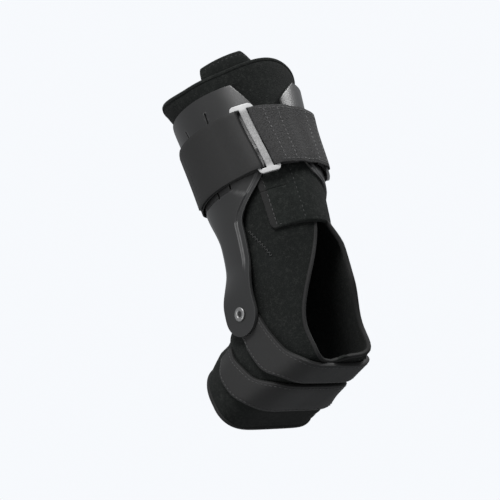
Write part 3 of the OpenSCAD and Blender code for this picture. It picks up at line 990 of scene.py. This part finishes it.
def evened(x, a, window=11.0):
    """Smooths the edges of a band along their own length."""
    out = x.copy()
    for i in range(len(x)):
        s = run_length(foot_pt(x[i], a[i]))
        even = np.linspace(0, s[-1], 400)
        reach = int(window / (even[1] + 1e-9)) | 1
        wide = np.pad(np.interp(even, s, x[i]), reach, mode="edge")
        for _ in range(2):
            wide = np.convolve(wide, np.ones(reach) / reach, mode="same")
        out[i] = np.interp(s, even, wide[reach:-reach])
    return out


def end_taper(v):
    """0 along a band, rising to 1 at its two ends."""
    return sm((np.abs(v) - 0.82) / 0.16)


def foot_band(name, off, rear, front, stop, crown=0.0, tuck=False, hem=0.0, thin=0.0):
    """Strap round the foot, between the two offsets off. crown lifts its middle, hem brings its
    edges down to the sleeve, tuck keeps it under the hinge and thin is what its ends lose."""
    across = np.concatenate([[0, 0.03, 0.06], np.linspace(0.1, 0.9, 12), [0.94, 0.97, 1]])
    v, u = np.meshgrid(np.linspace(-1, 1, 151), across)
    a0 = v * stop(0.0)
    x = mix(rear(a0), front(a0), u)
    x = evened(x, v * stop(x))
    a = v * stop(x)
    edge, ends = margin(u, 0, 1), thin * end_taper(v)
    lift = crown * np.minimum(0, sm(edge / 0.16) - 1) - ends
    down = hem * (1 - sm((edge - 0.01) / 0.05)) + 0.37 * ends
    outer, inner = foot_pt(x, a, off[1] + lift), foot_pt(x, a, off[0] - down)
    if tuck:
        for side, limit in ((outer, BOSS_Y - 0.2), (inner, BOSS_Y - 1.5)):
            flat = np.clip(side[..., 1], -limit, limit)
            side[..., 1] = mix(side[..., 1], flat, sm((side[..., 2] - 38) / 12))
    return slab(name, outer, inner)


def band_stitches(name, rear, front, stop, thin, inset=2.2):
    """Sewing along both edges of a band."""
    v = np.linspace(-1, 1, 240)
    lines = []
    for x in (rear(v * stop(0.0)) + inset, front(v * stop(0.0)) - inset):
        x = evened(x[None], v * stop(x[None]))[0]
        lines.append(with_normals(foot_pt, x, v * stop(x), SOLE_Z - 0.12 - thin * end_taper(v)))
    return stitches(name, lines, thick=0.24)


def build_stirrup():
    """Metal stirrup: a strip under the foot with a round eye at each hinge."""
    strip = foot_band("strip", (0.25, 1.75), lambda a: cover_rear(a) + 2.5,
                      lambda a: cover_front(a) - 2.5, stirrup_stop)
    far, bevel = EYE_Y + EYE_TH, 0.3
    eye = lathe("eye", [(RIVET_R, EYE_Y), (EYE_R - bevel, EYE_Y), (EYE_R, EYE_Y + bevel),
                        (EYE_R, far - bevel), (EYE_R - bevel, far), (RIVET_R, far)])
    return join("stirrup_plate", [strip, eye, mirrored(eye, "eye_2")])


finish_piece(build_stirrup(), "stirrup", "foot", "stirrup")
cover = foot_band("stirrup_cover_strap", (1.9, SOLE_Z), cover_rear, cover_front, cover_stop,
                  crown=0.3, tuck=True, hem=1.8)
finish_piece(round_edges(cover, 0.45), "foot_strap", "foot", "stirrup_cover")
arch = foot_band("arch_wrap_strap", (0.4, SOLE_Z), arch_rear, arch_front, arch_stop,
                 crown=0.5, hem=0.35, thin=ARCH_THIN)
finish_piece(round_edges(arch, 0.5), "foot_strap", "foot", "arch_strap")
for sewn in (band_stitches("cover_stitching", cover_rear, cover_front, cover_stop, 0.0),
             band_stitches("arch_stitching", arch_rear, arch_front, arch_stop, ARCH_THIN)):
    finish_piece(sewn, "thread", "foot", slot="foot_strap")


# ---------------------------------------------------------------- cuff strap and buckles
BAR_A = (126.0, 128.5, 133.4, 139.4, 142.9, 145.4)
BAR_LEAN = 0.092
FRONT_BAR, REAR_BAR = 128.2, 143.3


def lean(a, t):
    """Slants a line of the strap with the buckle that it passes."""
    b = np.where(a > 180, a - 360, a)
    return a - np.sign(b) * BAR_LEAN * (t - 117) * sm((40 - np.abs(np.abs(b) - 135.5)) / 25)


def ribbon(name, path):
    """Strap along a path of (angle, offset) points, with slightly thinner edges."""
    path = np.array(path, float)
    t, i = np.meshgrid(np.linspace(STRAP_LOW, STRAP_HIGH, 17), np.arange(len(path)), indexing="ij")
    c = leg_local(lean(path[i, 0], t), t, path[i, 1])
    d = unit(np.gradient(c, axis=1)[..., :2])
    side = stack(d[..., 1], -d[..., 0], 0 * d[..., 0])
    half = STRAP_TH / 2 * mix(0.72, 1.0, sm(margin(t, STRAP_LOW, STRAP_HIGH) / 1.6))
    strap = slab(name, tilt(c + side * half[..., None]), tilt(c - side * half[..., None]))
    return round_edges(strap, 0.3)


def fold(a, direction, steps=12):
    """Half turn of the strap round a buckle's bar."""
    middle, r = (UNDER_OFF + OVER_OFF) / 2, (OVER_OFF - UNDER_OFF) / 2
    return [(a + direction * 2.1 * math.sin(math.pi * k / steps),
             middle - r * math.cos(math.pi * k / steps)) for k in range(steps + 1)]


def front_over(a):
    """Offset of the front strap's upper layer, which rises to pass over the buckle."""
    return mix(FLAT_OFF, OVER_OFF, sm((a - 107) / 18))


def build_front_strap():
    reach = FRONT_BAR - 3
    over = [(a, front_over(a)) for a in span(reach, 62, 54)]
    sewn = [(a, front_over(a)) for a in span(reach, 98, 18)]
    under = [(a, mix(FRONT_OFF, UNDER_OFF, sm((abs(a) - 14) / 21))) for a in span(-reach, reach, 150)]
    turn = fold(FRONT_BAR, 1)
    inner_side = [(-a, off) for a, off in (turn + sewn)[::-1]]
    return ribbon("front_cuff_strap", inner_side + under + turn + over)


def rear_over(a):
    """Offset of the rear strap's upper layer, which comes down on the layer under it."""
    lap = (STRAP_TH + 0.15) * sm((180 - a) / 12)
    return UNDER_OFF + mix(OVER_OFF - UNDER_OFF, lap, sm((a - 146) / 18))


def build_rear_strap():
    reach = REAR_BAR + 3
    under = [(a, UNDER_OFF) for a in span(166, reach, 20)]
    half = under + fold(REAR_BAR, -1) + [(a, rear_over(a)) for a in span(reach, 180, 34)]
    return ribbon("rear_cuff_strap", half + [(360 - a, off) for a, off in half[::-1]][1:])


def sew_rear_strap():
    """Two rows of stitches along the rear strap, and four across it."""
    def top(a):
        return rear_over(np.minimum(a, 360 - a)) + STRAP_TH / 2 - 0.1

    a = np.linspace(147, 213, 90)
    t = np.linspace(STRAP_LOW + 2.4, STRAP_HIGH - 2.4, 40)
    rows = [with_normals(leg_pt, lean(a, low), low, top(a))
            for low in (STRAP_LOW + 2.6, STRAP_HIGH - 2.6)]
    columns = [with_normals(leg_pt, lean(at, t), t, top(at)) for at in (152, 164, 196, 208)]
    return stitches("rear_strap_stitching", rows + columns, thick=0.3)


def build_tab():
    """The hook tab: from the strap's end to its bevelled tip."""
    t, a = np.meshgrid(np.linspace(STRAP_LOW, STRAP_HIGH, 25),
                       np.linspace(TAB_START, TAB_TIP, 24), indexing="ij")
    edge = margin(t, STRAP_LOW, STRAP_HIGH)
    a = a + rounded(edge, 6) * 6 * (TAB_START - a) / (TAB_START - TAB_TIP)
    thin = 0.28 * (1 - sm(np.minimum(edge, (a - TAB_TIP) * 0.8) / 1.4))
    press = 0.5 * sm((60 - a) / 10)
    outer = leg_pt(a, t, FLAT_OFF + STRAP_TH / 2 - press - thin)
    inner = leg_pt(a, t, FLAT_OFF - STRAP_TH / 2 - press * 0.6 + 0.05)
    return round_edges(slab("cuff_strap_tab", outer, inner), 0.25)


def build_buckle():
    """Moulded three-bar buckle, rounded along every bar."""
    low, high = STRAP_LOW - 4.0, STRAP_HIGH + 4.0
    inner_low, inner_high = STRAP_LOW - 0.4, STRAP_HIGH + 0.4
    t = np.concatenate([np.linspace(low, inner_low, 5), np.linspace(inner_low, inner_high, 31)[1:],
                        np.linspace(inner_high, high, 5)[1:]])
    a = np.concatenate([span(BAR_A[i], BAR_A[i + 1], 4)[:-1] for i in range(5)] + [[BAR_A[-1]]])
    aa, tt = np.meshgrid(a, t)
    middle = (BAR_A[0] + BAR_A[-1]) / 2
    pull = rounded(margin(tt, low, high), 4.5) * 3.2
    aa = aa - np.sign(aa - middle) * pull * np.abs(aa - middle) / (BAR_A[-1] - middle)
    bars = np.searchsorted(BAR_A, a[:-1] + 0.01) - 1

    def keep(i, j):
        inside = inner_low - 1e-6 <= t[i] and t[i + 1] <= inner_high + 1e-6
        return not inside or bars[j] % 2 == 0

    outer, inner = (leg_pt(lean(aa, tt), tt, off) for off in (BAR_OUT, BAR_IN))
    obj = round_edges(cell_plate("lateral_three_bar_buckle", outer, inner, keep), 0.72, 3)
    # Attribute center: 1 over the buckle's middle height, for painted shade where the straps cross its
    # bars.
    _, height = leg_coords(points_of(obj))
    set_attribute(obj, "center", sm((height - low - 4) / 2) * sm((high - 4 - height) / 2))
    return obj


finish_piece(build_front_strap(), "front_strap", "leg", "front_strap")
tab = finish_piece(build_tab(), "front_strap", None, "front_strap_tab")
blend_round(tab, 61.5, 57.5, (STRAP_LOW + STRAP_HIGH) / 2, FLAT_OFF)
finish_piece(build_rear_strap(), "rear_strap", "leg", "rear_strap")
finish_piece(sew_rear_strap(), "light_thread", "leg", slot="rear_strap")
finish_pair(build_buckle(), "medial_three_bar_buckle", "buckle", "leg",
            "lateral_buckle", "medial_buckle")


# ---------------------------------------------------------------- soft panels
def puff(obj, swell, pinned, frames=16):
    """Lets a panel swell like stitched padding: a short cloth run in which its pinned edges stay,
    and no point moves further than swell millimetres."""
    rest = points_of(obj)
    group = obj.vertex_groups.new(name="pinned")
    for k, weight in enumerate(pinned):
        group.add([k], float(weight), "REPLACE")
    m = obj.modifiers.new("swell", "CLOTH")
    m.settings.quality = 5
    m.settings.mass = 0.2
    m.settings.use_pressure = True
    m.settings.uniform_pressure_force = 4.0
    m.settings.vertex_group_mass = "pinned"
    m.settings.effector_weights.gravity = 0.0
    m.collision_settings.use_collision = False
    m.point_cache.frame_start, m.point_cache.frame_end = 1, frames
    for f in range(1, frames + 1):
        bpy.context.scene.frame_set(f)
        bpy.context.view_layer.update()
    bake(obj)
    obj.vertex_groups.clear()
    bpy.context.scene.frame_set(1)
    move = points_of(obj) - rest
    size = np.linalg.norm(move, axis=1, keepdims=True)
    move *= swell * np.tanh(size / swell) / np.maximum(size, 1e-6)
    obj.data.vertices.foreach_set("co", ((rest + move) * MM).ravel())
    obj.data.update()
    return obj


def tongue_top(a):
    return 178 + 12.5 * sm((a - 105) / 7) * sm((164 - a) / 12) + 0.13 * (a - 130)


def tongue_edge(a, t):
    """Distance to the tongue's side or upper edge."""
    return np.minimum(margin(a, TONGUE_LEFT, TONGUE_RIGHT) * MM_PER_DEG, tongue_top(a) - t)


def build_tongue():
    k, a = np.meshgrid(np.linspace(0, 1, 60), np.linspace(TONGUE_LEFT, TONGUE_RIGHT, 52),
                       indexing="ij")
    t = mix(TONGUE_LOW, tongue_top(a), k)
    near = tongue_edge(a, t)
    fall = 1.3 * rounded(near, 1.6) * 0.9
    above = sm((t - 176) / 8)
    quilt = 0.55 * sm(near / 3.4) * above - 0.5 * bell(near, 3.4, 0.7) * above
    outer = leg_pt(a, t, -3.0 - fall + quilt * 0.8 + 1.0 * above)
    inner = leg_pt(a, t, -5.9 + fall - quilt * 0.8 + 0.6 * above)
    obj = round_edges(slab("padded_tongue", outer, inner), 0.4)
    a, t = leg_coords(points_of(obj))
    return puff(obj, 0.9, np.clip(1.2 - tongue_edge(a, t) / 6, 0, 1) * 0.6 + 0.4 * (t < 170))


def sew_tongue():
    a = np.linspace(109, 160, 90)
    t = tongue_top(a) - 3.4
    shown = t > 179
    line = with_normals(leg_pt, a[shown], t[shown], -1.95)
    return stitches("tongue_stitching", [line], thick=0.2)


def flap_seam(t):
    """Second seam of the flap, behind the tab."""
    return 161.8 - 0.12 * (t - 56.4)


def flap_face(a, t, left, right, low, high):
    """Outer offset of the closing flap: a stitched band along each free edge, padded inside."""
    side = margin(a, left, right) * MM_PER_DEG
    near = np.maximum(np.minimum(side, margin(t, low, high)), 0)
    seam = bell(side, 5.5, 0.6) + bell(t, low + 2.2, 0.5) * (t < low + 5)
    seam = seam + bell((a - flap_seam(t)) * 0.87, 0, 0.7)
    return 2.3 + 0.3 * sm((side - 5.5) / 4) - 1.0 * rounded(near, 1.2) - 0.35 * np.minimum(1, seam)


def mark_band(obj):
    """Attribute band: 1 on the flap's edge tape, outside its lateral seam."""
    a, t = leg_coords(points_of(obj))
    set_attribute(obj, "band", sm((6.6 - (a - flap_left(t))) / 0.8))
    return obj


def flap_pin(a, t):
    near = np.minimum(margin(a, flap_left(t), FLAP_RIGHT) * MM_PER_DEG, margin(t, TAB_LOW, FLAP_TOP))
    inner = np.where(a < TAB_A + 8, np.minimum(near, np.abs(t - TAB_HIGH)), near)
    return np.clip(1.25 - np.maximum(inner, 0) / 10, 0, 1)


def build_flap():
    """The closing flap, without the corner that is its tab."""
    rows = np.concatenate([np.linspace(TAB_LOW, TAB_HIGH, 24),
                           np.linspace(TAB_HIGH + 0.06, FLAP_TOP, 44)])
    cols = np.concatenate([np.linspace(FLAP_LEFT, TAB_A, 26),
                           np.linspace(TAB_A, FLAP_RIGHT, 76)[1:]])
    a, t = np.meshgrid(cols, rows)
    a = np.where(a < TAB_A, mix(flap_left(t), TAB_A, (a - FLAP_LEFT) / (TAB_A - FLAP_LEFT)), a)
    off = flap_face(a, t, flap_left(t), FLAP_RIGHT, TAB_LOW, FLAP_TOP)

    def keep(i, j):
        return rows[i] >= TAB_HIGH + 0.05 or cols[j] >= TAB_A - 1e-6

    obj = cell_plate("closing_flap", leg_pt(a, t, off), leg_pt(a, t, FLAP_IN), keep)
    return mark_band(puff(obj, 0.5, flap_pin(*leg_coords(points_of(obj)))))


def build_flap_tab():
    k, t = np.meshgrid(np.linspace(0, 1, 30), np.linspace(TAB_LOW, TAB_HIGH, 34))
    left = flap_left(t) + rounded(t - TAB_LOW, 6) * 5
    a = mix(TAB_A - 0.05, left, k)
    off = flap_face(a, t, left, 400.0, TAB_LOW, TAB_HIGH + 30)
    return mark_band(slab("closing_flap_tab", leg_pt(a, t, off), leg_pt(a, t, 0.95)))


def sew_flap(name, *pairs):
    return stitches(name, [with_normals(leg_pt, a, t, 2.12) for a, t in pairs], thick=0.27)


def flap_sewing():
    """The flap's seams: down its lateral edge, behind the tab, and along its lower edge."""
    up = np.linspace(TAB_HIGH + 1.0, 135, 80)
    tall = np.linspace(TAB_LOW + 2, 135, 120)
    low = np.linspace(TAB_A + 1, FLAP_RIGHT - 3, 120)
    return sew_flap("flap_stitching", (flap_left(up) + 6.4, up), (flap_seam(tall), tall),
                    (low, TAB_LOW + 2.2))


def tab_sewing():
    up = np.linspace(TAB_LOW + 1, TAB_HIGH - 0.5, 60)
    low = np.linspace(flap_left(TAB_LOW) + 7, TAB_A - 3.4, 40)
    return sew_flap("flap_tab_stitching", (flap_left(up) + 6.4, up), (low, TAB_LOW + 2.2))


tongue = finish_piece(build_tongue(), "tongue", "leg", "inner_tongue")
finish_piece(sew_tongue(), "thread", "leg", slot="tongue")
flap = finish_piece(build_flap(), "flap", "leg", "rear_closure_flap")
flap_tab = finish_piece(build_flap_tab(), "flap", None, "rear_flap_tab")
blend_round(flap_tab, 150.0, 147.2, (TAB_LOW + TAB_HIGH) / 2, 1.5)
finish_piece(flap_sewing(), "thread", "leg", slot="flap")
finish_piece(tab_sewing(), "thread", "flap_tab", slot="flap")


# ---------------------------------------------------------------- hook patches
def patch(name, first, last, low, high, off_in, off_out, corner=2.5):
    """Thin patch with rounded corners; last may lean with height."""
    t, k = np.meshgrid(np.linspace(low, high, 16), np.linspace(0, 1, 12), indexing="ij")
    last = last(t) if callable(last) else last + 0 * t
    shift = corner * rounded(margin(t, low, high), corner) * np.sign(last - first) * 0.4
    a = mix(first + shift, last - shift, k)
    return slab(name, leg_pt(a, t, off_out), leg_pt(a, t, off_in))


cuff_hook = patch("cuff_hook_patch", 60.2, 46.5, STRAP_LOW + 2, STRAP_HIGH - 2,
                  HOOK_IN, HOOK_IN + 0.44)
finish_piece(cuff_hook, "hook", "strap_tab", "front_tab_hook")
flap_hook = patch("flap_hook_patch", TAB_A - 1.5, lambda t: flap_left(t) + 2.5,
                  TAB_LOW + 1.5, TAB_HIGH - 1.5, FLAP_IN, 0.92)
finish_piece(flap_hook, "hook", "flap_tab", "rear_tab_hook")


# ---------------------------------------------------------------- zigzag seam on the sleeve
SEAM = [(101, 57), (103.5, 53), (110, 45), (115, 38.5), (119.5, 32)]


def smooth_line(points, count=160):
    """Smooth curve through points."""
    p = np.array(points, float)
    k = np.linspace(0, len(p) - 1, count)
    i = np.clip(k.astype(int), 0, len(p) - 2)
    f = (k - i)[:, None]
    p0, p1, p2, p3 = (p[np.clip(i + step, 0, len(p) - 1)] for step in (-1, 0, 1, 2))
    return 0.5 * (2 * p1 + (p2 - p0) * f + (2 * p0 - 5 * p1 + 4 * p2 - p3) * f**2
                  + (3 * p1 - p0 - 3 * p2 + p3) * f**3)


def zigzag(p, width, pitch):
    """Turns a line of (angle, height) points on the leg into a zigzag of the given width."""
    scale = np.array([MM_PER_DEG, 1.0])
    s = run_length(p * scale)
    n = int(s[-1] / pitch)
    at = np.linspace(0, s[-1], n + 1)
    q = np.stack([np.interp(at, s, p[:, 0]), np.interp(at, s, p[:, 1])], 1)
    d = unit(np.gradient(q * scale, axis=0))
    side = np.stack([-d[:, 1], d[:, 0]], 1) * np.where(np.arange(n + 1) % 2, 1, -1)[:, None]
    return q + side * width / 2 / scale


def build_seam():
    q = zigzag(smooth_line(SEAM), 2.6, 1.5)
    lines = [with_normals(leg_pt, sign * q[i:i + 2, 0], q[i:i + 2, 1], 0.12)
             for sign in (1, -1) for i in range(len(q) - 1)]
    return stitches("sleeve_zigzag", lines, length=2.35, gap=0.12, thick=0.24)


seam = finish_piece(build_seam(), "thread", None, slot="sleeve")
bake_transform(seam)


# ---------------------------------------------------------------- floor, light and camera
FLOOR_HALF = 3000.0
FLOOR_GLOW = 0.72
ROOM_LIGHT = 0.45
AIM = Vector((-0.02, 0, 0.12))


def build_floor():
    """Glowing paper that is seen from above and clear from below."""
    corners = [(x * FLOOR_HALF, y * FLOOR_HALF, 0) for x, y in ((-1, -1), (1, -1), (1, 1), (-1, 1))]
    mesh = bpy.data.meshes.new("floor")
    mesh.from_pydata([Vector(c) * MM for c in corners], [], [[0, 1, 2, 3]])
    floor = link_object("floor", mesh)
    s = Shader("floor_paper", (0.9, 0.92, 0.94), 0.9, Specular_IOR_Level=0.1,
               Emission_Color=(0.9, 0.92, 0.95, 1), Emission_Strength=FLOOR_GLOW)
    switch = s.node("ShaderNodeMixShader")
    s.link(s.node("ShaderNodeNewGeometry").outputs["Backfacing"], switch.inputs["Fac"])
    s.link(s.bsdf.outputs[0], switch.inputs[1])
    s.link(s.node("ShaderNodeBsdfTransparent").outputs[0], switch.inputs[2])
    s.link(switch.outputs[0], s.tree.nodes["Material Output"].inputs["Surface"])
    s.color(s.tint(s.noise(6, 2), (0.27, 0.275, 0.28), (0.29, 0.295, 0.3), MIDDLE))
    mesh.materials.append(s.mat)
    floor.visible_diffuse = False
    floor.visible_glossy = False
    floor.visible_shadow = False


def area_light(name, offset, size, watts):
    """Round light at an offset from the brace, turned towards it."""
    light = bpy.data.lights.new(name, "AREA")
    light.shape, light.size, light.energy = "DISK", size, watts
    obj = link_object(name, light)
    obj.location = AIM + offset
    obj.rotation_euler = (-offset).to_track_quat("-Z", "Y").to_euler()


def build_camera(azimuth, elevation, roll, distance, target, lens, shift):
    """Camera looking at target; azimuth and elevation give the way from the target to it."""
    az, el, ro = (math.radians(v) for v in (azimuth, elevation, roll))
    back = Vector((-math.sin(az) * math.cos(el), math.cos(az) * math.cos(el), math.sin(el)))
    level = Vector((-math.cos(az), -math.sin(az), 0))
    upright = back.cross(level)
    right = level * math.cos(ro) + upright * math.sin(ro)
    up = upright * math.cos(ro) - level * math.sin(ro)
    data = bpy.data.cameras.new("camera")
    data.sensor_width, data.lens = 36.0, lens
    data.shift_x, data.shift_y = shift
    data.clip_start, data.clip_end = 0.05, 20
    camera = link_object("camera", data)
    m = Matrix((right, up, back)).transposed().to_4x4()
    m.translation = Vector(target) + back * distance
    camera.matrix_world = m
    bpy.context.scene.camera = camera
    return right, up, back


def build_world():
    """Pale backdrop that lights the brace less brightly than it looks."""
    world = bpy.data.worlds.new("studio")
    world.use_nodes = True
    nodes, links = world.node_tree.nodes, world.node_tree.links
    backdrop, level = nodes["Background"], nodes.new("ShaderNodeMapRange")
    backdrop.inputs["Color"].default_value = (0.93, 0.95, 0.98, 1)
    level.inputs["To Min"].default_value, level.inputs["To Max"].default_value = ROOM_LIGHT, 1.0
    links.new(nodes.new("ShaderNodeLightPath").outputs["Is Camera Ray"], level.inputs["Value"])
    links.new(level.outputs["Result"], backdrop.inputs["Strength"])
    bpy.context.scene.world = world
    bpy.context.scene.view_settings.view_transform = "Standard"


build_floor()
right, up, back = build_camera(azimuth=40.9, elevation=-27.4, roll=-24.8, distance=1.08014,
                               target=(-0.008, 0, 0.106), lens=104.83, shift=(-0.0362, 0.0256))
area_light("key", back * 0.5 + up * 0.9 - right * 0.35, 0.5, 16)
area_light("rim", -back * 0.25 + up * 0.8 + right * 0.6, 0.4, 9)
area_light("fill", back * 0.7 - up * 0.3 - right * 0.8, 0.7, 6)
build_world()
